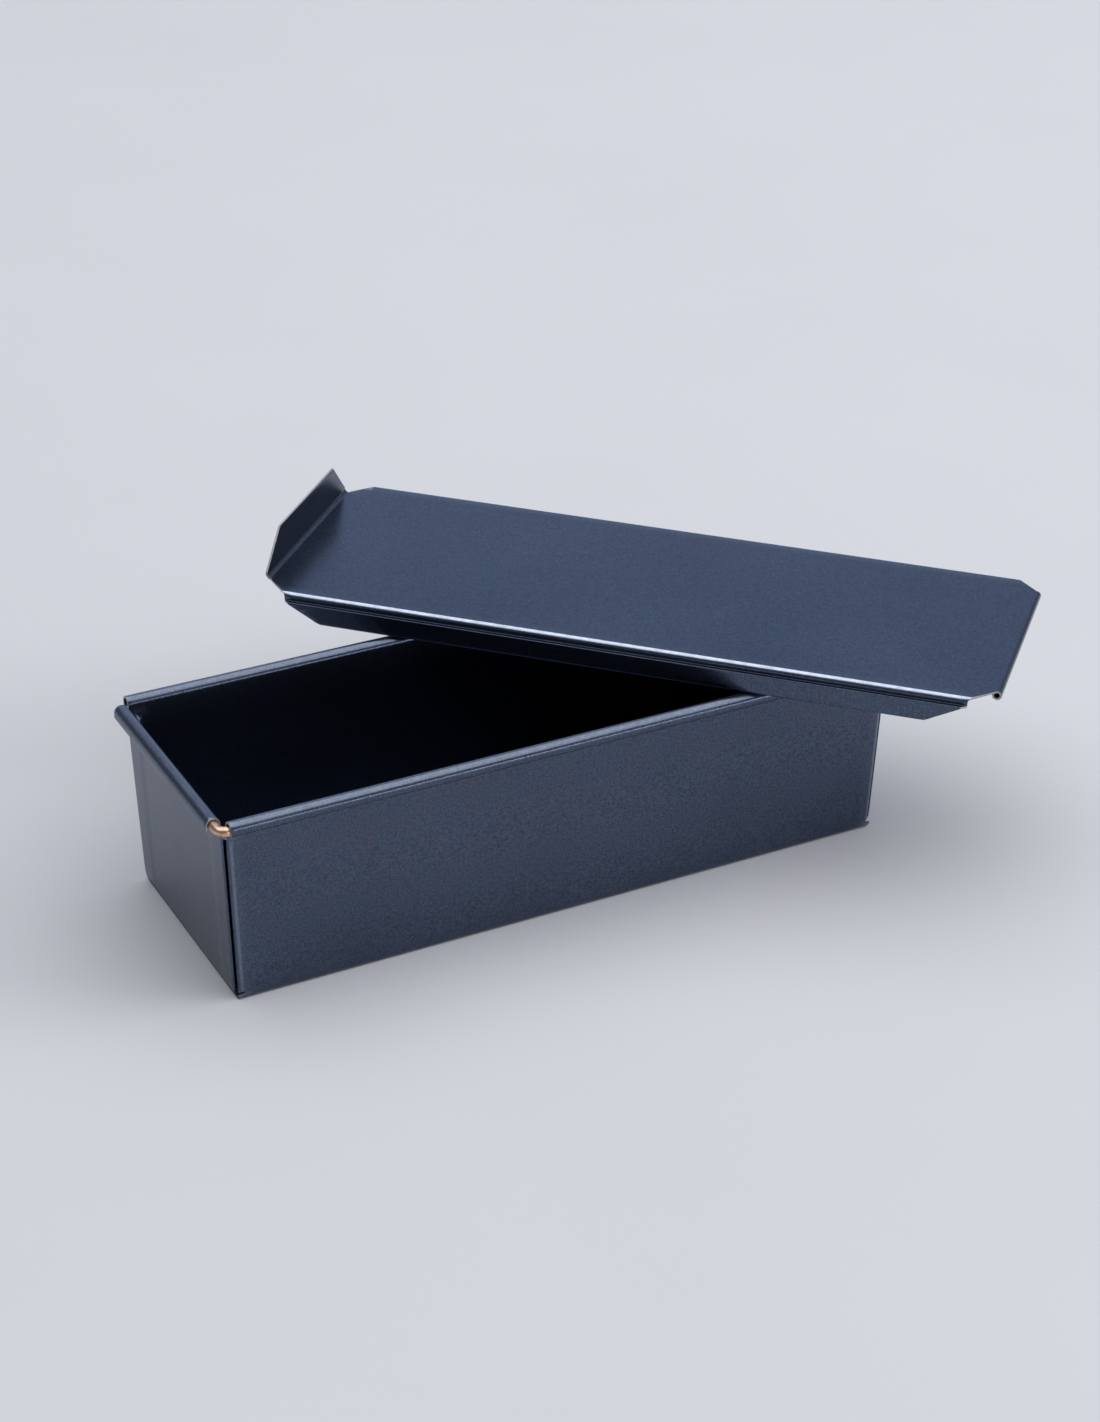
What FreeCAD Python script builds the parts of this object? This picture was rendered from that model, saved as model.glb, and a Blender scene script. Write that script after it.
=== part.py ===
import FreeCAD, Part
import math
import os

# A covered loaf pan of thin blued steel. The pan is a folded trough closed by two end sheets, with
# its rims rolled outward over one bent wire. The lid is a single sheet whose rails run along the
# long rims; it lies askew on them here, pull tab to the left.
#
# Millimetres. The origin is the middle of the base, X runs along the pan, Z is up.

# Stock
pan_sheet = 0.8
lid_sheet = 0.8
wire_diameter = 4.0

# Pan, over its sheet at the rim; each wall leans in by its draft on the way down
pan_length = 284.0
pan_width = 100.0
pan_height = 80.0
end_draft = 2.9
side_draft = 1.85
floor_bend = 1.6
floor_setback = 0.8

# Corners: the long walls bend round into ears that lie behind the end panels
corner_bend = 1.4
ear_length = 12.0
ear_gap = 0.4
seam_gap = 0.1
relief_gap = 0.2
relief_slot = 0.9
corner_drop = 8.6

# End sheets: a foot on the floor, and a notch under each end of the rolled rim
foot_length = 14.0
foot_gap = 0.1
foot_side_gap = 0.2
notch_rise = 2.5

# Rolled rims round the wire; an end rim is cut back further at one end than at the other
rim_clearance = 0.15
rim_step = 0.7
long_rim_lip = 2.5
end_rim_lip = 2.1
wire_corner = 3.2
long_rim_setback = 0.2
end_rim_wide_setback = 3.0
end_rim_close_setback = 0.8
wire_end_setback = 1.0

# Lid plate
lid_overhang = 1.1
lid_chamfer = 9.5

# Lid rails: a step down beside the plate, a groove that rides on the rim, a shoulder and a skirt
# with a hook that reaches under the rim's lip
rail_edge_bend = 1.1
rail_step = 0.1
groove_bend = 0.9
groove_flank = 0.2
groove_flank_angle = 8
shoulder_bend = 0.225
slide_clearance = 0.4
hook_clearance = 2.1
hook_bend = 0.4
hook_length = 2.2
skirt_taper = 14.0

# Lid ends: an upturned pull tab and a hollow curl
tab_bend = 2.0
tab_turn = 92
tab_height = 17.0
tab_relief = 0.8
tab_taper = 14.0
tab_root = 2.0
tab_corner = 2.0
curl_diameter = 3.8
curl_turn = 300

# Where the lid lies on the rims
lid_yaw = -45.1
lid_shift_x = 75.8
lid_shift_y = 24.9
lid_rest_gap = 0.3

# Cuts run past the metal by this much
overrun = 5.0

right_angle = 90
half_turn = 180

origin = FreeCAD.Vector(0, 0, 0)
along_x = FreeCAD.Vector(1, 0, 0)
along_y = FreeCAD.Vector(0, 1, 0)
along_z = FreeCAD.Vector(0, 0, 1)

# What follows from those sizes
wire_radius = wire_diameter / 2
rim_bend = wire_radius + rim_clearance
base_half_length = pan_length / 2 - end_draft
base_half_width = pan_width / 2 - side_draft
end_slope = end_draft / pan_height
side_slope = side_draft / pan_height
end_lean = math.degrees(math.atan(end_slope))
side_lean = math.degrees(math.atan(side_slope))
bend_outside = floor_bend + pan_sheet
corner_outside = corner_bend + pan_sheet
corner_top = pan_height - corner_drop
foot_underside = pan_sheet + foot_gap
relief_height = foot_underside + bend_outside + relief_gap
long_crown = pan_height
end_crown = pan_height - rim_step
wire_height = end_crown - pan_sheet - rim_bend


def rim_centre(base_half, slope, crown):
    """Middle of a rolled rim: its distance from the pan's middle plane, and its height."""
    height = crown - pan_sheet - rim_bend
    lean = math.atan(slope)
    return base_half + height * slope + rim_bend / math.cos(lean), height


wire_x = rim_centre(base_half_length, end_slope, end_crown)[0]
wire_y = rim_centre(base_half_width, side_slope, long_crown)[0]
rim_outside = rim_bend + pan_sheet
long_rim_end = wire_x - wire_corner - long_rim_setback
end_rim_wide_end = wire_y - wire_corner - end_rim_wide_setback
end_rim_close_end = wire_y - wire_corner - end_rim_close_setback

edge_outside = rail_edge_bend + lid_sheet
groove_outside = groove_bend + lid_sheet
shoulder_outside = shoulder_bend + lid_sheet
hook_outside = hook_bend + lid_sheet
flank_rise = math.radians(groove_flank_angle)
groove_bends = groove_bend + shoulder_outside
rail_width = groove_bends * (1 + math.sin(flank_rise)) + groove_flank * math.cos(flank_rise)
skirt_outside = wire_y + rim_outside + slide_clearance + lid_sheet
plate_half_width = skirt_outside - rail_width
plate_half_length = wire_x + rim_outside + lid_overhang
plate_end_half_width = plate_half_width - lid_chamfer
groove_centre = edge_outside + rail_step
groove_depth = groove_centre + groove_outside
groove_offset = plate_half_width + groove_bend - wire_y
groove_seat = math.sqrt((rim_outside + groove_outside) ** 2 - groove_offset ** 2)
skirt_depth = groove_centre + groove_seat + long_rim_lip + hook_clearance + lid_sheet


# Bent sheet and prisms

def heading_vector(degrees):
    """Unit vector at an angle in the drawing plane."""
    angle = math.radians(degrees)
    return FreeCAD.Vector(math.cos(angle), math.sin(angle), 0)


def sheet_side(start, heading, moves, offset):
    """Edges of one side of a bent sheet, offset to the left of its path, and its two ends."""
    first = start + heading_vector(heading + right_angle) * offset
    point = first
    edges = []
    for size, turn in moves:
        if turn == 0:
            end = point + heading_vector(heading) * size
            edges.append(Part.LineSegment(point, end).toShape())
        else:
            side = math.copysign(right_angle, turn)
            radius = size - math.copysign(offset, offset * turn)
            centre = point + heading_vector(heading + side) * radius
            middle = centre + heading_vector(heading - side + turn / 2) * radius
            end = centre + heading_vector(heading - side + turn) * radius
            edges.append(Part.Arc(point, middle, end).toShape())
            heading += turn
        point = end
    return edges, first, point


def bent_sheet(start, heading, moves, offset):
    """Section of a bent sheet. A move is a straight length and 0, or a bend's radius and turn."""
    near, near_start, near_end = sheet_side(start, heading, moves, 0)
    far, far_start, far_end = sheet_side(start, heading, moves, offset)
    caps = [
        Part.LineSegment(near_start, far_start).toShape(),
        Part.LineSegment(near_end, far_end).toShape(),
    ]
    return Part.Face(Part.Wire(Part.__sortEdges__(near + far + caps)))


def polygon(points):
    """Flat face through points of the drawing plane."""
    corners = [FreeCAD.Vector(u, v, 0) for u, v in points]
    return Part.Face(Part.makePolygon(corners + corners[:1]))


def both_sides(points):
    """A right-hand outline, from bottom to top, with its mirror image on the left."""
    return points + [(-u, v) for u, v in reversed(points)]


def centred_prism(face, half_length):
    """Prism square to the drawing plane, reaching as far to either side of it."""
    prism = face.extrude(along_z * (half_length + half_length))
    prism.translate(along_z * -half_length)
    return prism


def prism_on_yz(face, half_length):
    """The face drawn with its first axis along Y and its second along Z, carried along X."""
    prism = centred_prism(face, half_length)
    third_turn = 120
    prism.rotate(origin, FreeCAD.Vector(1, 1, 1), third_turn)
    return prism


def prism_on_xz(face, half_length):
    """The face drawn with its first axis along X and its second along Z, carried along Y."""
    prism = centred_prism(face, half_length)
    prism.rotate(origin, along_x, right_angle)
    return prism


def with_mirror(shape, normal):
    """A shape joined to its mirror image in a plane through the origin."""
    return shape.fuse(shape.mirror(origin, normal)).removeSplitter()


def rounded_path(points, radius):
    """Straight runs through points, with an arc of the given radius at each inner point."""
    edges = []
    start = points[0]
    for before, corner, after in zip(points, points[1:], points[2:]):
        back = (before - corner).normalize()
        onward = (after - corner).normalize()
        half_angle = back.getAngle(onward) / 2
        reach = radius / math.tan(half_angle)
        bisector = (back + onward).normalize()
        middle = corner + bisector * (radius / math.sin(half_angle) - radius)
        edges.append(Part.LineSegment(start, corner + back * reach).toShape())
        edges.append(Part.Arc(corner + back * reach, middle, corner + onward * reach).toShape())
        start = corner + onward * reach
    edges.append(Part.LineSegment(start, points[-1]).toShape())
    return Part.Wire(edges)


# Pan

def wall_section(base_half, slope, foot_start, foot_z, crown, lip):
    """A foot, the bend up, the leaning wall and the rim rolled outward, drawn along the outside."""
    lean = math.atan(slope)
    rise_turn = right_angle - math.degrees(lean)
    bend_reach = bend_outside * math.tan(math.radians(rise_turn) / 2)
    corner_u = base_half + foot_z * slope
    centre_v = crown - pan_sheet - rim_bend
    wall_length = (centre_v - foot_z + rim_bend * math.sin(lean)) / math.cos(lean)
    moves = [
        (corner_u - foot_start - bend_reach, 0),
        (bend_outside, rise_turn),
        (wall_length - bend_reach, 0),
        (rim_bend, -(half_turn - math.degrees(lean))),
        (lip, 0),
    ]
    return bent_sheet(FreeCAD.Vector(foot_start, foot_z, 0), 0, moves, pan_sheet)


def ear_outside(z):
    """Distance of an ear's outer face from the pan's middle, at a height."""
    covered = (pan_sheet + ear_gap) / math.cos(math.radians(end_lean))
    return base_half_length + z * end_slope - covered


def wall_outside(z):
    """Distance of a long wall's outer face from the pan's middle, at a height."""
    return base_half_width + z * side_slope


def corner_wire(z):
    """Plan of one corner at a height: the bend from the long wall and the ear behind the panel."""
    ear_x = ear_outside(z)
    wall_y = wall_outside(z)
    ear_thick = pan_sheet / math.cos(math.radians(end_lean))
    wall_thick = pan_sheet / math.cos(math.radians(side_lean))
    centre = FreeCAD.Vector(ear_x - corner_outside, wall_y - corner_outside, z)
    diagonal = FreeCAD.Vector(1, 1, 0).normalize()
    wall_outer = FreeCAD.Vector(centre.x, wall_y, z)
    wall_inner = FreeCAD.Vector(centre.x, wall_y - wall_thick, z)
    bend_outer = FreeCAD.Vector(ear_x, centre.y, z)
    bend_inner = FreeCAD.Vector(ear_x - ear_thick, centre.y, z)
    tip_outer = bend_outer - along_y * ear_length
    tip_inner = bend_inner - along_y * ear_length
    edges = [
        Part.Arc(wall_outer, centre + diagonal * corner_outside, bend_outer).toShape(),
        Part.LineSegment(bend_outer, tip_outer).toShape(),
        Part.LineSegment(tip_outer, tip_inner).toShape(),
        Part.LineSegment(tip_inner, bend_inner).toShape(),
        Part.Arc(bend_inner, centre + diagonal * corner_bend, wall_inner).toShape(),
        Part.LineSegment(wall_inner, wall_outer).toShape(),
    ]
    return Part.Wire(edges)


def trough_sheet():
    """Floor, long walls, long rims and the four corners."""
    section = wall_section(base_half_width, side_slope, 0, 0, long_crown, long_rim_lip)
    channel = with_mirror(prism_on_yz(section, pan_length / 2), along_y)
    slot_bottom = relief_height - relief_slot
    floor_end = base_half_length - floor_setback
    profile = both_sides([
        (floor_end, -overrun),
        (floor_end, slot_bottom),
        (ear_outside(slot_bottom) - corner_outside, slot_bottom),
        (ear_outside(corner_top) - corner_outside, corner_top),
        (long_rim_end, corner_top),
        (long_rim_end, pan_height + overrun),
    ])
    channel = channel.common(prism_on_xz(polygon(profile), pan_width))
    corner = Part.makeLoft([corner_wire(relief_height), corner_wire(corner_top)], True, True)
    corners = with_mirror(with_mirror(corner, along_x), along_y)
    return channel.fuse(corners).removeSplitter()


def panel_side(rim_end):
    """One side of an end sheet's outline, from its foot up to the end of its rim."""
    foot_half = base_half_width - pan_sheet - floor_bend - foot_side_gap
    seam = corner_outside + seam_gap
    return [
        (foot_half, -overrun),
        (foot_half, relief_height),
        (wall_outside(relief_height) - seam, relief_height),
        (wall_outside(corner_top) - seam, corner_top),
        (rim_end, corner_top + notch_rise),
        (rim_end, pan_height + overrun),
    ]


def right_end_sheet():
    """Foot on the floor, end panel and rolled end rim."""
    foot_start = base_half_length - foot_length
    section = wall_section(
        base_half_length, end_slope, foot_start, foot_underside, end_crown, end_rim_lip)
    panel = prism_on_xz(section, pan_width / 2)
    near_side = [(-u, v) for u, v in reversed(panel_side(end_rim_close_end))]
    profile = panel_side(end_rim_wide_end) + near_side
    return panel.common(prism_on_yz(polygon(profile), pan_length))


def rim_wire():
    """One wire bent round three corners inside the rims; its two ends stop short of the far left one."""
    places = [
        (wire_end_setback - long_rim_end, wire_y), (wire_x, wire_y), (wire_x, -wire_y),
        (-wire_x, -wire_y), (-wire_x, end_rim_close_end - wire_end_setback),
    ]
    points = [FreeCAD.Vector(x, y, wire_height) for x, y in places]
    path = rounded_path(points, wire_corner)
    section = Part.Wire(Part.makeCircle(wire_radius, points[0], along_x))
    return path.makePipeShell([section], True, False)


# Lid, drawn flat with its plate's top at height 0, then laid on the rims

def rail_section():
    """Half of the lid across its length, from the middle of the plate to the hook."""
    skirt_top = groove_centre + groove_bends * math.cos(flank_rise) - groove_flank * math.sin(flank_rise)
    back_turn = right_angle + groove_flank_angle
    moves = [
        (plate_half_width - edge_outside, 0),
        (edge_outside, -right_angle),
        (rail_step, 0),
        (groove_bend, back_turn),
        (groove_flank, 0),
        (shoulder_outside, -back_turn),
        (skirt_depth - hook_outside - skirt_top, 0),
        (hook_outside, -right_angle),
        (hook_length - hook_outside, 0),
    ]
    return bent_sheet(origin, 0, moves, -lid_sheet)


def plate_and_rails():
    """The plate with its rails, corners chamfered and skirt ends cut on a slant."""
    lid = with_mirror(prism_on_yz(rail_section(), plate_half_length), along_y)
    wide = skirt_outside + overrun
    narrow_length = plate_half_length - (wide - plate_end_half_width)
    plan = both_sides([
        (narrow_length, -wide),
        (plate_half_length, -plate_end_half_width),
        (plate_half_length, plate_end_half_width),
        (narrow_length, wide),
    ])
    lid = lid.common(centred_prism(polygon(plan), skirt_depth + overrun))
    skirt_end = plate_half_length - (skirt_outside - plate_end_half_width)
    slant = polygon([
        (skirt_end, -groove_depth),
        (skirt_end - skirt_taper, -skirt_depth),
        (skirt_end - skirt_taper, -skirt_depth - overrun),
        (skirt_end + overrun, -skirt_depth - overrun),
        (skirt_end + overrun, -groove_depth),
    ])
    cut = prism_on_xz(slant, wide)
    return lid.cut([cut, cut.mirror(origin, along_x)])


def pull_tab():
    """Upturned tab across the lid's left end, narrowing to its top."""
    moves = [
        (tab_bend, -tab_turn),
        (tab_height, 0),
    ]
    section = bent_sheet(FreeCAD.Vector(-plate_half_length, 0, 0), half_turn, moves, lid_sheet)
    base_half = plate_end_half_width - tab_relief
    top_half = base_half - tab_taper
    corners = [
        (base_half, tab_root), (top_half, tab_height), (-top_half, tab_height), (-base_half, tab_root),
    ]
    crest = rounded_path([FreeCAD.Vector(u, v, 0) for u, v in corners], tab_corner)
    below = [
        FreeCAD.Vector(-base_half, tab_root, 0), FreeCAD.Vector(-base_half, -overrun, 0),
        FreeCAD.Vector(base_half, -overrun, 0), FreeCAD.Vector(base_half, tab_root, 0),
    ]
    outline = Part.Wire(crest.Edges + Part.makePolygon(below).Edges)
    blank = prism_on_yz(Part.Face(outline), plate_half_length + tab_height)
    return prism_on_xz(section, plate_half_width).common(blank)


def end_curl():
    """The lid's right end, rolled down into a hollow bead."""
    moves = [(curl_diameter / 2, -curl_turn)]
    section = bent_sheet(FreeCAD.Vector(plate_half_length, 0, 0), 0, moves, -lid_sheet)
    return prism_on_xz(section, plate_end_half_width)


def lid_sheet_solid():
    """The lid, laid askew on the rims."""
    lid = plate_and_rails().fuse([pull_tab(), end_curl()]).removeSplitter()
    lid.rotate(origin, along_z, lid_yaw)
    lid.translate(FreeCAD.Vector(lid_shift_x, lid_shift_y, pan_height + lid_rest_gap + skirt_depth))
    return lid


right_end = right_end_sheet()
left_end = right_end.copy()
left_end.rotate(origin, along_z, half_turn)
nodes = {
    "trough_sheet": trough_sheet(),
    "left_end_sheet": left_end,
    "right_end_sheet": right_end,
    "rim_wire": rim_wire(),
    "lid_sheet": lid_sheet_solid(),
}

os.makedirs("parts", exist_ok=True)
for node, shape in nodes.items():
    print(node, shape.ShapeType, len(shape.Solids), shape.isValid(), round(shape.Volume), shape.BoundBox)
    shape.exportStep(f"parts/{node}.step")
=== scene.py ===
import math

import bmesh
import bpy
from mathutils import Euler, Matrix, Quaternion, Vector


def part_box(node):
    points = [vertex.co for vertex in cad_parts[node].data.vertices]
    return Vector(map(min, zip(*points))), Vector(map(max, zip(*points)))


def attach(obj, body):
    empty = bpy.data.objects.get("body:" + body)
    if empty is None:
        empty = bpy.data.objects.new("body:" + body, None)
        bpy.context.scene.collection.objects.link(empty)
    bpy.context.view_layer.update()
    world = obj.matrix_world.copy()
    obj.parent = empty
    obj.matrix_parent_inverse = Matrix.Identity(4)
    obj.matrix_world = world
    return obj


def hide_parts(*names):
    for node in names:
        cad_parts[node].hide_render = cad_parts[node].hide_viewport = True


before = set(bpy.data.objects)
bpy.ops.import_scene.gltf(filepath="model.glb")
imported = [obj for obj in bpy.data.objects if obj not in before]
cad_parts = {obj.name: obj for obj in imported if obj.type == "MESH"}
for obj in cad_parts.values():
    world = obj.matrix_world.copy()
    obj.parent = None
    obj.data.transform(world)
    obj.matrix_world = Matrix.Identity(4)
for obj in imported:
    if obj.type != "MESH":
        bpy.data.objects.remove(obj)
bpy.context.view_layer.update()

# Trough: floor and both long walls, folded from one sheet of blued steel.
# The long rims are rolled outward over a wire, with the lower edge turned in a little, and each wall
# runs round the corner into an ear that is tucked behind the end sheet.
mm = 0.001
sheet = 0.8 * mm
side_draft = 1.85 * mm
end_draft = 2.9 * mm
half_base_width = 48.15 * mm
half_base_length = 139.1 * mm
floor_bend = 2.4 * mm
rim_bend = 2.15 * mm
long_lip = 2.5 * mm
lip_tuck = 1.5 * mm
corner_bend = 2.2 * mm
corner_top = 71.4 * mm
ear_length = 12.0 * mm
ear_cover = 1.2 * mm
relief_top = 3.5 * mm
relief_bottom = 2.6 * mm
floor_end = 138.3 * mm
long_rim_end = 140.62 * mm
cut_edge_round = 0.16 * mm
hair = 0.05 * mm

rim_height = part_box("trough_sheet")[1].z
side_slope = side_draft / rim_height
end_slope = end_draft / rim_height
side_lean = math.atan(side_slope)
end_lean = math.atan(end_slope)
quarter = math.radians(90)
tuck_turn = math.radians(65)
cut_angle = math.radians(50)
smooth_angle = math.radians(35)
x_axis = Vector((1, 0, 0))
y_axis = Vector((0, 1, 0))
z_axis = Vector((0, 0, 1))


def flat_sheet(name, low, high, columns, rows):
    """A flat grid between two corners, left in edit mode to be folded."""
    bpy.ops.object.select_all(action="DESELECT")
    bpy.ops.mesh.primitive_grid_add(x_subdivisions=columns, y_subdivisions=rows, size=1)
    piece = bpy.context.object
    piece.name = name
    piece.data.name = name
    bpy.ops.object.mode_set(mode="EDIT")
    bpy.ops.mesh.select_mode(type="EDGE")
    bpy.ops.mesh.select_all(action="SELECT")
    bpy.ops.transform.resize(value=(high.x - low.x, high.y - low.y, 1), center_override=(0, 0, 0))
    bpy.ops.transform.translate(value=(low + high) / 2)
    return piece


def pick_edges(piece, wanted):
    """Selects the sheet's open edges whose two ends both pass a test of their place."""
    bpy.ops.mesh.select_all(action="DESELECT")
    mesh = bmesh.from_edit_mesh(piece.data)
    for edge in mesh.edges:
        if edge.is_boundary and all(wanted(vertex.co) for vertex in edge.verts):
            edge.select_set(True)
    bmesh.update_edit_mesh(piece.data)


def bend(turn, centre, axis, steps):
    """Folds the picked edges round an axis, by the right-hand rule; spin itself turns the other way."""
    bpy.ops.mesh.spin(steps=steps, angle=-turn, center=centre, axis=axis)


def draw_out(offset, rows=1, reach=(1, 1), along=x_axis):
    """Extrudes the picked edges in equal rows, their length along an axis going from reach to reach."""
    present = reach[0]
    for row in range(1, rows + 1):
        bpy.ops.mesh.extrude_edges_move(TRANSFORM_OT_translate={"value": offset / rows})
        wanted = reach[0] + (reach[1] - reach[0]) * row / rows
        stretch = Vector((1, 1, 1)) + along * (wanted / present - 1)
        bpy.ops.transform.resize(value=stretch, center_override=(0, 0, 0))
        present = wanted


def square_off(place, along):
    """Flattens what is picked onto a plane across an axis."""
    bpy.ops.transform.resize(value=Vector((1, 1, 1)) - along, center_override=along * place)


def apply_modifier(piece, kind, **settings):
    """Adds one modifier with its settings and applies it."""
    modifier = piece.modifiers.new(kind.lower(), kind)
    for setting, value in settings.items():
        setattr(modifier, setting, value)
    bpy.ops.object.modifier_apply(modifier=modifier.name)


def close_seams(piece, outward):
    """Merges the folded surface's doubled points and turns its outer side outward."""
    bpy.ops.object.mode_set(mode="EDIT")
    bpy.ops.mesh.select_all(action="SELECT")
    bpy.ops.mesh.remove_doubles(threshold=hair / 10)
    bpy.ops.mesh.normals_make_consistent(inside=False)
    mesh = bmesh.from_edit_mesh(piece.data)
    middle = min(mesh.faces, key=lambda face: face.calc_center_median().length)
    if middle.normal.dot(outward) < 0:
        bpy.ops.mesh.flip_normals()
    bpy.ops.object.mode_set(mode="OBJECT")


def push_out(piece, depth, share, wave_spacing=0):
    """Moves a surface by each place's share: in waves if they have a spacing, else evenly outward."""
    group = piece.vertex_groups.new(name="push")
    for vertex in piece.data.vertices:
        group.add([vertex.index], min(max(share(vertex.co), 0), 1), "REPLACE")
    waves = None
    if wave_spacing:
        waves = bpy.data.textures.new("sheet waves", "CLOUDS")
        waves.noise_scale = wave_spacing
        waves.noise_depth = 1
    apply_modifier(
        piece, "DISPLACE", texture=waves, texture_coords="LOCAL", direction="NORMAL", strength=depth,
        mid_level=0.5 if waves else 0, vertex_group=group.name)
    piece.vertex_groups.clear()


def give_thickness(piece, rubbed_and_highlit, bare_from):
    """Gives the surface its thickness, eases cut edges, blues those below a height, notes bends worn and
    painted pale as a highlight.
    """
    apply_modifier(
        piece, "SOLIDIFY", thickness=sheet, offset=-1, use_even_offset=True, material_offset_rim=1)
    apply_modifier(
        piece, "BEVEL", width=cut_edge_round, segments=2, limit_method="ANGLE", angle_limit=cut_angle)
    mesh = bmesh.new()
    mesh.from_mesh(piece.data)
    mesh.normal_update()
    wear_and_highlight = mesh.verts.layers.float.new("wear_and_highlight")
    for vertex in mesh.verts:
        turned = sum(edge.calc_face_angle_signed(0) * edge.calc_length() for edge in vertex.link_edges) / 2
        area = sum(face.calc_area() / len(face.verts) for face in vertex.link_faces)
        bent = min(max(turned / area * tight_bend, 0), 1)
        vertex[wear_and_highlight] = bent * rubbed_and_highlit(vertex.co, vertex.normal)
    for face in mesh.faces:
        if face.calc_center_median().z < bare_from:
            face.material_index = 0
    mesh.to_mesh(piece.data)
    mesh.free()
    bpy.ops.object.shade_smooth_by_angle(angle=smooth_angle)


def wall_reach(z):
    """Half length of a long wall at a height, up to where its corner bend starts."""
    return half_base_length + z * end_slope - ear_cover / math.cos(end_lean) - corner_bend


rise = quarter - side_lean
bend_reach = floor_bend * math.tan(rise / 2)
floor_half = half_base_width - bend_reach
rim_z = rim_height - sheet - rim_bend
rim_y = half_base_width + rim_z * side_slope + rim_bend / math.cos(side_lean)
wall_up = Vector((0, math.sin(side_lean), math.cos(side_lean)))
rim_start = rim_z + rim_bend * math.sin(side_lean)

trough = flat_sheet("trough", Vector((0, 0, 0)), Vector((wall_reach(0), floor_half, 0)), columns=36, rows=8)
pick_edges(trough, lambda place: place.y > floor_half - hair)
bend(rise, (0, floor_half, floor_bend), x_axis, 6)
heights = [floor_bend * (1 - math.sin(side_lean)), relief_bottom, relief_top, corner_top, rim_start]
rows = [1, 1, 16, 2]
reach = wall_reach(0)
for low, high, count in zip(heights, heights[1:], rows):
    draw_out(wall_up * ((high - low) / math.cos(side_lean)), count, (reach, wall_reach(high)))
    reach = wall_reach(high)
bend(side_lean - 2 * quarter, (0, rim_y, rim_z), x_axis, 16)
lip_straight = long_lip - (lip_tuck + sheet) * math.sin(tuck_turn)
draw_out(z_axis * -lip_straight, 2)
bend(-tuck_turn, (0, rim_y + rim_bend - lip_tuck, rim_z - lip_straight), x_axis, 6)

for low, high, end in [(-sheet, relief_bottom, floor_end), (corner_top, rim_height, long_rim_end)]:
    pick_edges(trough, lambda place: place.x > wall_reach(0) - hair and low - hair < place.z < high + hair)
    draw_out(x_axis * corner_bend)
    square_off(end, x_axis)

corner_line = Vector((end_slope, side_slope, 1)).normalized()
corner_foot = Vector((wall_reach(0), half_base_width - corner_bend, 0))
end_normal = Vector((math.cos(end_lean), 0, -math.sin(end_lean)))
wall_normal = Vector((0, math.cos(side_lean), -math.sin(side_lean)))
pick_edges(trough, lambda place: place.x > wall_reach(place.z) - hair
           and relief_top - hair < place.z < corner_top + hair)
bend(-end_normal.angle(wall_normal), corner_foot, corner_line, 6)
draw_out(end_normal.cross(corner_line).normalized() * ear_length, 3)
bpy.ops.object.mode_set(mode="OBJECT")
apply_modifier(trough, "MIRROR", use_axis=(True, True, False), merge_threshold=hair)
close_seams(trough, -z_axis)

wall_waves = 0.2 * mm
wall_wave_spacing = 45 * mm
wave_fade = 20 * mm
rim_waves = 0.06 * mm
rim_wave_spacing = 9 * mm
tight_bend = 2 * mm
# Paler steel on rim tops, corner bends and rail edges: partly rubbed wear, partly a painted highlight.
rim_rub_and_highlight = 0.27
corner_rub_and_highlight = 0.25
rub_and_highlight_side = 0.4
rub_and_highlight_top = 0.8
beside_wall = 0.8


def wall_share(place):
    """How much of the waves a place on the long walls takes: all mid-wall, none near bends and corners."""
    along = (wall_reach(0) - abs(place.x)) / wave_fade
    up = min(place.z - floor_bend, corner_top - place.z) / wave_fade
    return min(along, up) if abs(place.y) > floor_half else 0


def long_rim_share(place):
    """How much of the fine ripples a place on the long rims takes."""
    return min((place.z - rim_start) / rim_bend, (long_rim_end - abs(place.x)) / wave_fade)


def facing_up(normal):
    """A share that falls from 1 on a bend's top to 0 on its side."""
    return min(max((normal.z - rub_and_highlight_side) / (rub_and_highlight_top - rub_and_highlight_side), 0), 1)


def trough_rub_and_highlight(place, normal):
    """Hands and the lid rub the tops of the rims, and the corner bends wear beside the wall; both are also
    painted paler as a highlight.
    """
    if place.z > corner_top:
        return rim_rub_and_highlight * facing_up(normal)
    return corner_rub_and_highlight if abs(normal.y) > beside_wall and abs(place.x) > wall_reach(0) else 0


def linear(hex_colour):
    """An sRGB hex colour as linear red, green, blue and alpha."""
    parts = [int(hex_colour[i:i + 2], 16) / 255 for i in (1, 3, 5)]
    return [c / 12.92 if c <= 0.04045 else ((c + 0.055) / 1.055) ** 2.4 for c in parts] + [1]


def add_node(tree, kind, inputs, **settings):
    """Adds a node with its settings, and fills or links its inputs by name or number."""
    node = tree.nodes.new(kind)
    for setting, value in settings.items():
        setattr(node, setting, value)
    for socket, value in inputs.items():
        if isinstance(value, bpy.types.NodeSocket):
            tree.links.new(value, node.inputs[socket])
        else:
            node.inputs[socket].default_value = value
    return node.outputs


def start_material(name):
    """A new material's shader and node tree."""
    material = bpy.data.materials.new(name)
    material.use_nodes = True
    return material, material.node_tree, material.node_tree.nodes["Principled BSDF"].inputs


noise_low = 0.3
noise_high = 0.7


def spread(tree, pattern, low, high):
    """Spreads the usual range of a noise pattern from a low value to a high one."""
    return add_node(tree, "ShaderNodeMapRange", {
        "Value": pattern, "From Min": noise_low, "From Max": noise_high, "To Min": low, "To Max": high})[0]


# Blued steel: cold-rolled sheet heated until its oxide film turns blue. It reflects as a dark metal, with a
# fine rolled grain, faint patches of bluer and more violet film, and paler steel on bends that is partly
# rubbed wear and partly a painted highlight.
# The grain of the real sheet is about 0.2 mm wide and is drawn four times as coarse, so that it shows.
film_blue = "#4a5669"
film_violet = "#4e5567"
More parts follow.
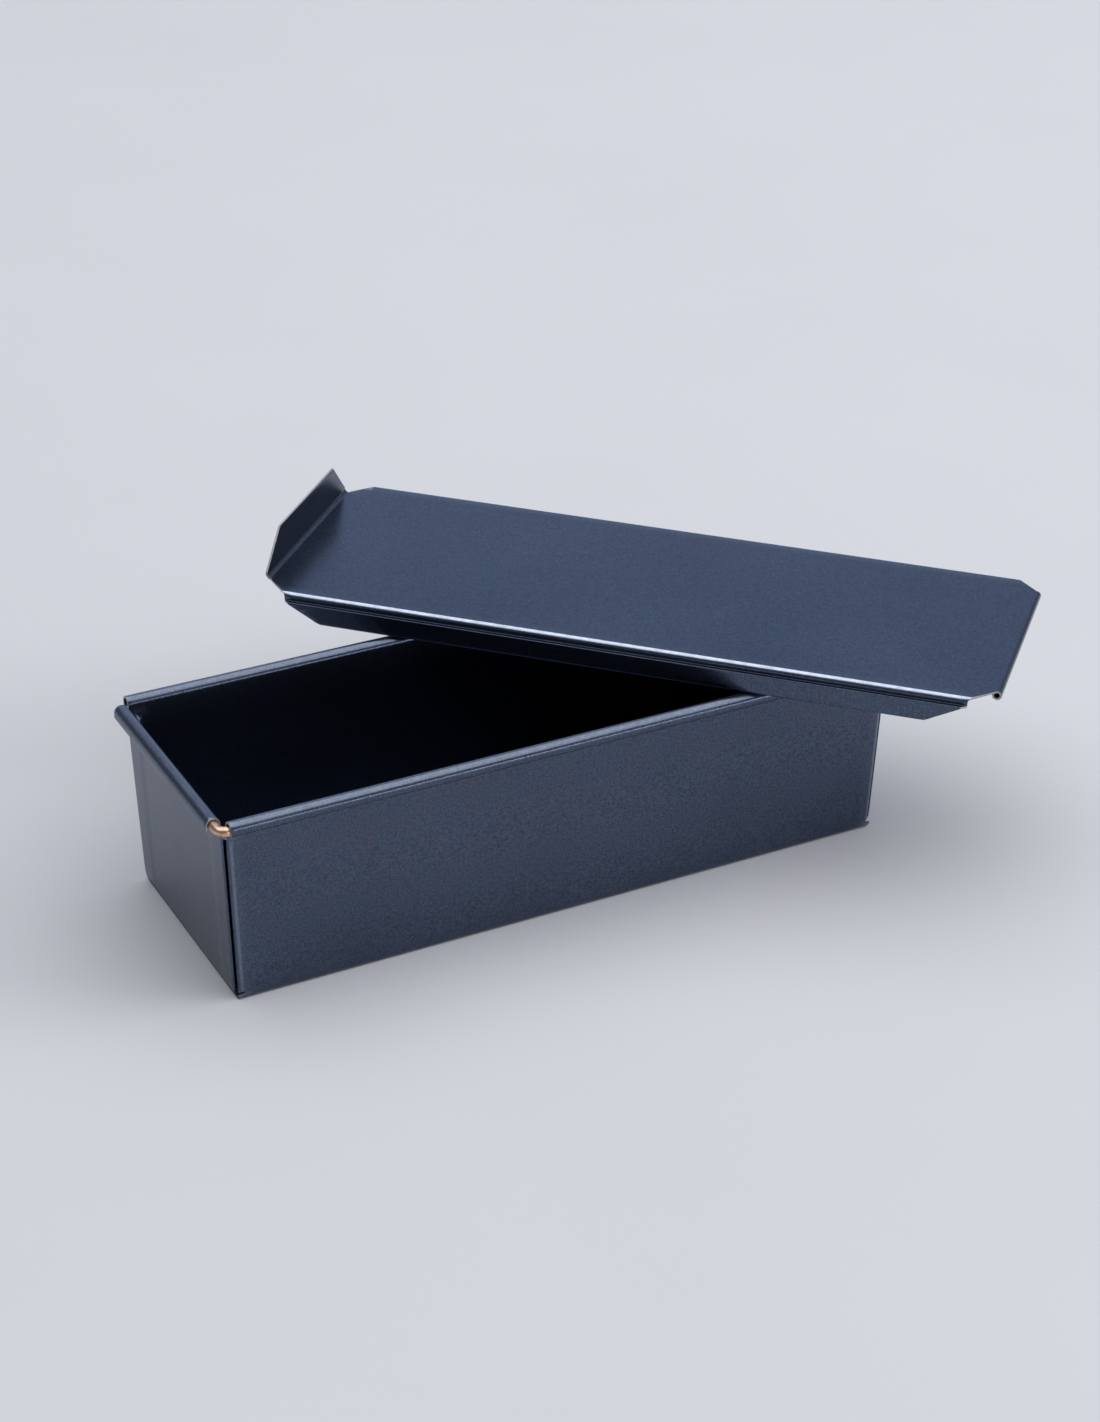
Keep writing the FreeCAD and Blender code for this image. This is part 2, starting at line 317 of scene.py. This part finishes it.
# Pale steel for worn bend tops, which also serves as a painted highlight.
rubbed_steel_and_highlight = "#bcc5d6"
grain_width = 0.8 * mm
film_patch = 8 * mm
tone_patch = 70 * mm
scuff_width = 2.5 * mm
grain_depth = 0.02 * mm
grain_shade = (0.7, 1.3)
tone_shade = (0.94, 1.06)
scuff_share = (0.7, 1.0)
steel_roughness = (0.23, 0.29)

blued_steel, tree, shader = start_material("heat-blued rolled steel")
place = add_node(tree, "ShaderNodeTexCoord", {})["Object"]
grain = add_node(tree, "ShaderNodeTexNoise", {"Vector": place, "Scale": 1 / grain_width, "Detail": 2})[0]
film = add_node(tree, "ShaderNodeTexNoise", {"Vector": place, "Scale": 1 / film_patch, "Detail": 4})[0]
tone = add_node(tree, "ShaderNodeTexNoise", {"Vector": place, "Scale": 1 / tone_patch, "Detail": 2})[0]
scuff = add_node(tree, "ShaderNodeTexNoise", {"Vector": place, "Scale": 1 / scuff_width, "Detail": 3})[0]
film_part = add_node(tree, "ShaderNodeMapRange", {"Value": film, "From Min": 0.35, "From Max": 0.65})[0]
colour = add_node(tree, "ShaderNodeMix", {
    0: film_part, 6: linear(film_blue), 7: linear(film_violet)}, data_type="RGBA")[2]
for pattern, (low, high) in [(grain, grain_shade), (tone, tone_shade)]:
    shade = spread(tree, pattern, low, high)
    colour = add_node(
        tree, "ShaderNodeMix", {0: 1.0, 6: colour, 7: shade}, data_type="RGBA", blend_type="MULTIPLY")[2]
wear_and_highlight = add_node(tree, "ShaderNodeAttribute", {}, attribute_name="wear_and_highlight")["Fac"]
scuffed = spread(tree, scuff, *scuff_share)
bare_and_highlit = add_node(tree, "ShaderNodeMath", {0: wear_and_highlight, 1: scuffed}, operation="MULTIPLY")[0]
# Worn bends turn paler here: partly rubbed wear, partly a painted highlight.
colour = add_node(tree, "ShaderNodeMix", {0: bare_and_highlit, 6: colour, 7: linear(rubbed_steel_and_highlight)}, data_type="RGBA")[2]
roughness = spread(tree, tone, *steel_roughness)
relief = add_node(tree, "ShaderNodeBump", {"Height": grain, "Strength": 0.4, "Distance": grain_depth})[0]
tree.links.new(colour, shader["Base Color"])
tree.links.new(roughness, shader["Roughness"])
tree.links.new(relief, shader["Normal"])
shader["Metallic"].default_value = 0.96

# Sheared edge: bare steel where a rim or the lid was trimmed last. It is duller and paler than the blued
# faces, and uneven from the shear. The panels' own edges are blued like their faces.
cut_pale = "#b6b4b4"
cut_dark = "#848488"
shear_mark = 0.7 * mm

sheared_edge, tree, shader = start_material("sheared steel edge")
place = add_node(tree, "ShaderNodeTexCoord", {})["Object"]
marks = add_node(tree, "ShaderNodeTexNoise", {"Vector": place, "Scale": 1 / shear_mark, "Detail": 2})[0]
colour = add_node(
    tree, "ShaderNodeMix", {0: marks, 6: linear(cut_dark), 7: linear(cut_pale)}, data_type="RGBA")[2]
tree.links.new(colour, shader["Base Color"])
shader["Metallic"].default_value = 0.5
shader["Roughness"].default_value = 0.45

trough.data.materials.append(blued_steel)
trough.data.materials.append(sheared_edge)
push_out(trough, wall_waves, wall_share, wall_wave_spacing)
push_out(trough, rim_waves, long_rim_share, rim_wave_spacing)
give_thickness(trough, trough_rub_and_highlight, corner_top)
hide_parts("trough_sheet")
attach(trough, "pan")

# End sheets: an outer panel at each end with its own rolled rim and a foot that lies on the floor.
# Each is one sheet. Its rim is cut square short of the corners, further back at one end than at the
# other, and the panel stands out a little over the ears behind it.
foot_low, end_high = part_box("right_end_sheet")
foot_half = 45.55 * mm
seam = 2.3 * mm
notch_rise = 2.5 * mm
end_rim_wide = 45.88 * mm
end_rim_close = 48.08 * mm
end_lip = 2.1 * mm

end_rise = quarter - end_lean
end_bend_reach = floor_bend * math.tan(end_rise / 2)
foot_z = foot_low.z
foot_end = half_base_length + foot_z * end_slope - end_bend_reach
end_rim_z = end_high.z - sheet - rim_bend
end_rim_x = half_base_length + end_rim_z * end_slope + rim_bend / math.cos(end_lean)
end_rim_start = end_rim_z + rim_bend * math.sin(end_lean)
panel_up = Vector((math.sin(end_lean), 0, math.cos(end_lean)))


def panel_reach(z):
    """Half width of an end panel at a height, up to the seam beside the corner bend."""
    return half_base_width + z * side_slope - seam


def end_half(name, rim_half):
    """An end sheet from its middle to one side: foot, bend, panel and the rim rolled outward."""
    low_corner = Vector((foot_low.x, 0, foot_z))
    high_corner = Vector((foot_end, foot_half, foot_z))
    half = flat_sheet(name, low_corner, high_corner, columns=4, rows=32)
    pick_edges(half, lambda place: place.x > foot_end - hair)
    bend(end_rise, (foot_end, 0, foot_z + floor_bend), -y_axis, 6)
    profile = [
        (foot_z + floor_bend * (1 - math.sin(end_lean)), foot_half, 1),
        (relief_top, panel_reach(relief_top), 16),
        (corner_top, panel_reach(corner_top), 2),
        (corner_top + notch_rise, rim_half, 2),
        (end_rim_start, rim_half, 0),
    ]
    for (low, reach, count), (high, next_reach, _) in zip(profile, profile[1:]):
        draw_out(panel_up * ((high - low) / math.cos(end_lean)), count, (reach, next_reach), y_axis)
    bend(end_lean - 2 * quarter, (end_rim_x, 0, end_rim_z), -y_axis, 16)
    draw_out(z_axis * -end_lip, 2)
    bpy.ops.object.mode_set(mode="OBJECT")
    return half


close_half = end_half("close_half", end_rim_close)
close_half.scale.y = -1
bpy.ops.object.transform_apply(location=False, rotation=False)
right_end = end_half("right_end", end_rim_wide)
close_half.select_set(True)
bpy.ops.object.join()
close_seams(right_end, -z_axis)

end_rim_waves = 0.16 * mm
end_rim_wave_spacing = 7 * mm
ear_step = 0.2 * mm
ear_step_fade = 4 * mm


def panel_share(place):
    """How much of the waves a place on an end panel takes: none over the ears, so the sheets stay clear."""
    across = (foot_half - ear_length - abs(place.y)) / wave_fade
    up = min(place.z - 2 * floor_bend, corner_top - place.z) / wave_fade
    return min(across, up)


def ear_share(place):
    """How far the panel stands out over the ears behind it."""
    across = (abs(place.y) - foot_half + ear_length) / ear_step_fade
    up = min(place.z - floor_bend, corner_top + notch_rise - place.z) / ear_step_fade
    return min(across, up)


def end_rim_share(place):
    """How much of the fine ripples an end rim takes."""
    along = min(end_rim_wide - place.y, end_rim_close + place.y) / end_rim_wave_spacing
    return min((place.z - end_rim_start) / rim_bend, along)


def end_rub_and_highlight(place, normal):
    """Hands rub the top of the rim, which is also painted paler there as a highlight."""
    return rim_rub_and_highlight * facing_up(normal) if place.z > corner_top else 0


right_end.data.materials.append(blued_steel)
right_end.data.materials.append(sheared_edge)
push_out(right_end, wall_waves, panel_share, wall_wave_spacing)
push_out(right_end, end_rim_waves, end_rim_share, end_rim_wave_spacing)
push_out(right_end, ear_step, ear_share)
give_thickness(right_end, end_rub_and_highlight, corner_top)

bpy.ops.object.duplicate()
left_end = bpy.context.object
left_end.name = "left_end"
left_end.data.name = "left_end"
left_end.rotation_euler.z = 2 * quarter
bpy.ops.object.transform_apply()
for piece, node in [(right_end, "right_end_sheet"), (left_end, "left_end_sheet")]:
    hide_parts(node)
    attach(piece, "pan")

# Rim wire: one length of copper-plated steel wire bent round three corners inside the rolled rims.
# It shows bare between the rims at those corners, and its two ends stop short of the fourth.
wire_low, wire_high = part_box("rim_wire")
wire_radius = (wire_high.z - wire_low.z) / 2
wire_corner = 3.2 * mm
wire_x = end_rim_x
wire_y = rim_y
wire_z = wire_high.z - wire_radius
wire_end_setback = 1.0 * mm
wire_smooth_angle = math.radians(40)

bpy.ops.object.select_all(action="DESELECT")
bpy.ops.mesh.primitive_circle_add(
    vertices=28, radius=wire_radius, fill_type="NGON",
    location=(wire_end_setback - long_rim_end, wire_y, wire_z), rotation=(0, quarter, 0))
wire = bpy.context.object
wire.name = "bent_wire"
wire.data.name = "bent_wire"
bpy.ops.object.transform_apply()
bpy.ops.object.mode_set(mode="EDIT")
bpy.ops.mesh.select_all(action="SELECT")
long_run = wire_x - wire_corner
short_run = wire_y - wire_corner
corners = [(long_run, short_run), (long_run, -short_run), (-long_run, -short_run)]
runs = [
    x_axis * (long_run + long_rim_end - wire_end_setback),
    y_axis * (-2 * short_run),
    x_axis * (-2 * long_run),
]
for run, (x, y) in zip(runs, corners):
    bpy.ops.mesh.extrude_region_move(TRANSFORM_OT_translate={"value": run})
    bend(-quarter, (x, y, wire_z), z_axis, 12)
last_run = y_axis * (short_run + end_rim_close - wire_end_setback)
bpy.ops.mesh.extrude_region_move(TRANSFORM_OT_translate={"value": last_run})
bpy.ops.mesh.select_all(action="SELECT")
bpy.ops.mesh.remove_doubles(threshold=hair / 10)
bpy.ops.mesh.normals_make_consistent(inside=False)
bpy.ops.object.mode_set(mode="OBJECT")
bpy.ops.object.shade_smooth_by_angle(angle=wire_smooth_angle)

# Coppered wire: steel wire drawn through a die after a copper bath. It has a soft metal gloss, and the
# thin plating has darkened in spots.
copper_bright = "#e2bda4"
copper_dull = "#a98468"
tarnish_spot = 3 * mm

coppered_wire, tree, shader = start_material("copper-plated drawn wire")
place = add_node(tree, "ShaderNodeTexCoord", {})["Object"]
tarnish = add_node(tree, "ShaderNodeTexNoise", {"Vector": place, "Scale": 1 / tarnish_spot, "Detail": 4})[0]
tarnished = add_node(tree, "ShaderNodeMapRange", {"Value": tarnish, "From Min": 0.45, "From Max": 0.7})[0]
colour = add_node(tree, "ShaderNodeMix", {
    0: tarnished, 6: linear(copper_bright), 7: linear(copper_dull)}, data_type="RGBA")[2]
roughness = add_node(tree, "ShaderNodeMapRange", {"Value": tarnish, "To Min": 0.2, "To Max": 0.45})[0]
tree.links.new(colour, shader["Base Color"])
tree.links.new(roughness, shader["Roughness"])
shader["Metallic"].default_value = 1
wire.data.materials.append(coppered_wire)
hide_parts("rim_wire")
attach(wire, "pan")

# Lid: one sheet with a rail and skirt folded along each long edge, an upturned pull tab at the left
# end and a hollow curl at the right end. It lies loose and askew on the pan's rims.
skirt_outside = 56.23 * mm
skirt_depth = 11.215 * mm
plate_half_length = 148.07 * mm
lid_chamfer = 9.5 * mm
rail_edge = 1.9 * mm
rail_step = 1.02 * mm
groove = 0.2 * mm
flank = 1.9 * mm
flank_rise = math.radians(8)
shoulder = 0.25 * mm
groove_depth = 3.7 * mm
hook_bend = 1.2 * mm
hook_length = 2.2 * mm
skirt_taper = 14.0 * mm
tab_relief = 0.8 * mm
tab_bend = 2.0 * mm
tab_turn = math.radians(92)
tab_height = 17.0 * mm
tab_taper = 14.0 * mm
tab_corner = 0.9 * mm
curl_radius = 1.9 * mm
curl_turn = math.radians(300)
lid_turn = math.radians(-45.1)
lid_place = Vector((75.8 * mm, 24.9 * mm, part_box("lid_sheet")[0].z + skirt_depth))

bends = groove + shoulder
plate_half_width = skirt_outside - bends * (1 + math.sin(flank_rise)) - flank * math.cos(flank_rise)
plate_end_half = plate_half_width - lid_chamfer
plate_side = plate_half_width - rail_edge
groove_z = -(rail_edge + rail_step)
shoulder_y = skirt_outside - shoulder
shoulder_z = groove_z - bends * math.cos(flank_rise) + flank * math.sin(flank_rise)
tab_half = plate_end_half - tab_relief


def pick_faces(piece, wanted):
    """Selects the faces whose middle passes a test of its place."""
    bpy.ops.mesh.select_all(action="DESELECT")
    mesh = bmesh.from_edit_mesh(piece.data)
    for face in mesh.faces:
        if wanted(face.calc_center_median()):
            face.select_set(True)
    bmesh.update_edit_mesh(piece.data)


lid_low = Vector((-plate_half_length, 0, 0))
lid_high = Vector((plate_half_length, plate_side, 0))
lid = flat_sheet("lid", lid_low, lid_high, columns=72, rows=12)
pick_edges(lid, lambda place: place.y > plate_side - hair)
bend(-quarter, (0, plate_side, -rail_edge), x_axis, 8)
draw_out(z_axis * -rail_step)
bend(quarter + flank_rise, (0, plate_half_width + groove, groove_z), x_axis, 8)
draw_out((y_axis * math.cos(flank_rise) + z_axis * math.sin(flank_rise)) * flank)
bend(-quarter - flank_rise, (0, shoulder_y, shoulder_z), x_axis, 8)
draw_out(z_axis * -(skirt_depth - hook_bend + shoulder_z), 4)
bend(-quarter, (0, skirt_outside - hook_bend, hook_bend - skirt_depth), x_axis, 4)
draw_out(y_axis * (hook_bend - hook_length))

for side in (1, -1):
    bpy.ops.mesh.select_all(action="SELECT")
    bpy.ops.mesh.bisect(
        plane_co=(side * plate_half_length, plate_end_half, 0),
        plane_no=Vector((side, 1, 0)).normalized(), clear_outer=True)
bpy.ops.mesh.select_all(action="SELECT")
bpy.ops.mesh.bisect(plane_co=(0, 0, -groove_depth), plane_no=z_axis)
skirt_end = plate_half_length - (skirt_outside - plate_end_half)
for side in (1, -1):
    pick_faces(lid, lambda place: place.z < -groove_depth)
    taper_way = Vector((side * (skirt_depth - groove_depth), 0, -skirt_taper)).normalized()
    bpy.ops.mesh.bisect(
        plane_co=(side * skirt_end, 0, -groove_depth), plane_no=taper_way, clear_outer=True)
bpy.ops.mesh.select_all(action="SELECT")
bpy.ops.mesh.bisect(plane_co=(0, tab_half, 0), plane_no=y_axis)

pick_edges(lid, lambda place: place.x < hair - plate_half_length and place.y < tab_half + hair)
bend(tab_turn, (-plate_half_length, 0, tab_bend), y_axis, 8)
tab_lean = quarter - tab_turn
tab_up = Vector((-math.sin(tab_lean), 0, math.cos(tab_lean)))
tab_start = tab_bend * (1 - math.cos(tab_turn))
tab_run = (tab_height - tab_start) / math.cos(tab_lean)
draw_out(tab_up * tab_run, 6, (tab_half, tab_half - tab_taper), y_axis)
bpy.ops.mesh.select_mode(type="VERT")
bpy.ops.mesh.select_all(action="DESELECT")
mesh = bmesh.from_edit_mesh(lid.data)
for vertex in mesh.verts:
    vertex.select_set(vertex.co.z > tab_height - hair and vertex.co.y > tab_half - tab_taper - hair)
bmesh.update_edit_mesh(lid.data)
bpy.ops.mesh.bevel(offset=tab_corner, segments=4, affect="VERTICES")
bpy.ops.mesh.select_mode(type="EDGE")
pick_edges(lid, lambda place: place.x > plate_half_length - hair)
bend(curl_turn, (plate_half_length, 0, -curl_radius), y_axis, 30)
bpy.ops.object.mode_set(mode="OBJECT")
apply_modifier(lid, "MIRROR", use_axis=(False, True, False), merge_threshold=hair)
close_seams(lid, z_axis)


def plate_share(place):
    """How much of the waves a place on the lid takes: all in the plate's middle, none at its folds."""
    across = (plate_side - abs(place.y)) / wave_fade
    along = (plate_half_length - abs(place.x)) / wave_fade
    return min(across, along)


def lid_rub_and_highlight(place, normal):
    """Hands and shelves rub the upper side of the plate's long edges, which is also painted paler as a
    highlight.
    """
    return facing_up(normal) if abs(place.y) > plate_side - hair and place.z > -rail_edge else 0


lid.data.materials.append(blued_steel)
lid.data.materials.append(sheared_edge)
push_out(lid, wall_waves, plate_share, wall_wave_spacing)
give_thickness(lid, lid_rub_and_highlight, -skirt_depth)
lid.rotation_euler.z = lid_turn
lid.location = lid_place
bpy.ops.object.transform_apply()
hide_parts("lid_sheet")
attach(lid, "lid")

# Plain pale floor of honed stone, soft studio light and the camera at the photograph's angle.
# The floor is matt. A wide soft lamp hangs over the object, a flat one stands low in front and a third
# at the right, and the room is dim except for a pale wall behind the object.
floor_size = 40
bpy.ops.object.select_all(action="DESELECT")
bpy.ops.mesh.primitive_plane_add(size=floor_size)
floor = bpy.context.object
floor.name = "floor"
stone_pale = "#cccdd1"
stone_dark = "#c8c9cd"
stone_patch = 180 * mm
stone, tree, shader = start_material("honed pale stone")
place = add_node(tree, "ShaderNodeTexCoord", {})["Object"]
patches = add_node(tree, "ShaderNodeTexNoise", {"Vector": place, "Scale": 1 / stone_patch, "Detail": 4})[0]
colour = add_node(
    tree, "ShaderNodeMix", {0: patches, 6: linear(stone_dark), 7: linear(stone_pale)}, data_type="RGBA")[2]
tree.links.new(colour, shader["Base Color"])
shader["Roughness"].default_value = 0.6
shader["Specular IOR Level"].default_value = 0
floor.data.materials.append(stone)

camera_place = Vector((-0.4658, -0.9182, 0.6378))
camera_azimuth = math.radians(27.69)
camera_down = math.radians(29.10)
camera_roll = math.radians(0.544)
focal_pixels = 3008.6
picture_height = 1422
bpy.ops.object.camera_add(location=camera_place)
camera = bpy.context.object
level = Euler((quarter - camera_down, 0, -camera_azimuth)).to_quaternion()
camera.rotation_euler = (level @ Quaternion((0, 0, 1), camera_roll)).to_euler()
camera.data.sensor_width = 36
camera.data.lens = focal_pixels * camera.data.sensor_width / picture_height
bpy.context.scene.camera = camera


def soft_lamp(place, tilt, turn, width, height, brightness):
    """A rectangular lamp, tilted from facing down, then turned, with power for its brightness."""
    turned = (math.radians(tilt), 0, math.radians(turn))
    bpy.ops.object.light_add(type="AREA", location=place, rotation=turned)
    lamp = bpy.context.object
    lamp.data.shape = "RECTANGLE"
    lamp.data.size = width
    lamp.data.size_y = height
    lamp.data.energy = brightness * math.pi * width * height
    lamp.visible_camera = False


soft_lamp(place=(1.1175, -0.0225, 4.0), tilt=0, turn=-27.7, width=9.0, height=6.5, brightness=1.5)
soft_lamp(place=(2.75, -4.75, 0.475), tilt=85, turn=30, width=6.0, height=0.8, brightness=4.4)
soft_lamp(place=(5.37, -1.95, 2.95), tilt=62.7, turn=70, width=4.1, height=2.4, brightness=4.8)

room_dim = "#71767f"
wall_pale = "#b3c4e0"
wall_way = (0.46, 0.89, 0)
wall_start = 0.68
wall_full = 0.88
studio = bpy.data.worlds.new("studio")
bpy.context.scene.world = studio
studio.use_nodes = True
tree = studio.node_tree
way = add_node(tree, "ShaderNodeTexCoord", {})["Generated"]
facing = add_node(tree, "ShaderNodeVectorMath", {0: way, 1: wall_way}, operation="DOT_PRODUCT")["Value"]
part = add_node(
    tree, "ShaderNodeMapRange", {"Value": facing, "From Min": wall_start, "From Max": wall_full},
    interpolation_type="SMOOTHSTEP")[0]
light = add_node(
    tree, "ShaderNodeMix", {0: part, 6: linear(room_dim), 7: linear(wall_pale)}, data_type="RGBA")[2]
tree.links.new(light, tree.nodes["Background"].inputs["Color"])
bpy.context.scene.view_settings.view_transform = "Standard"
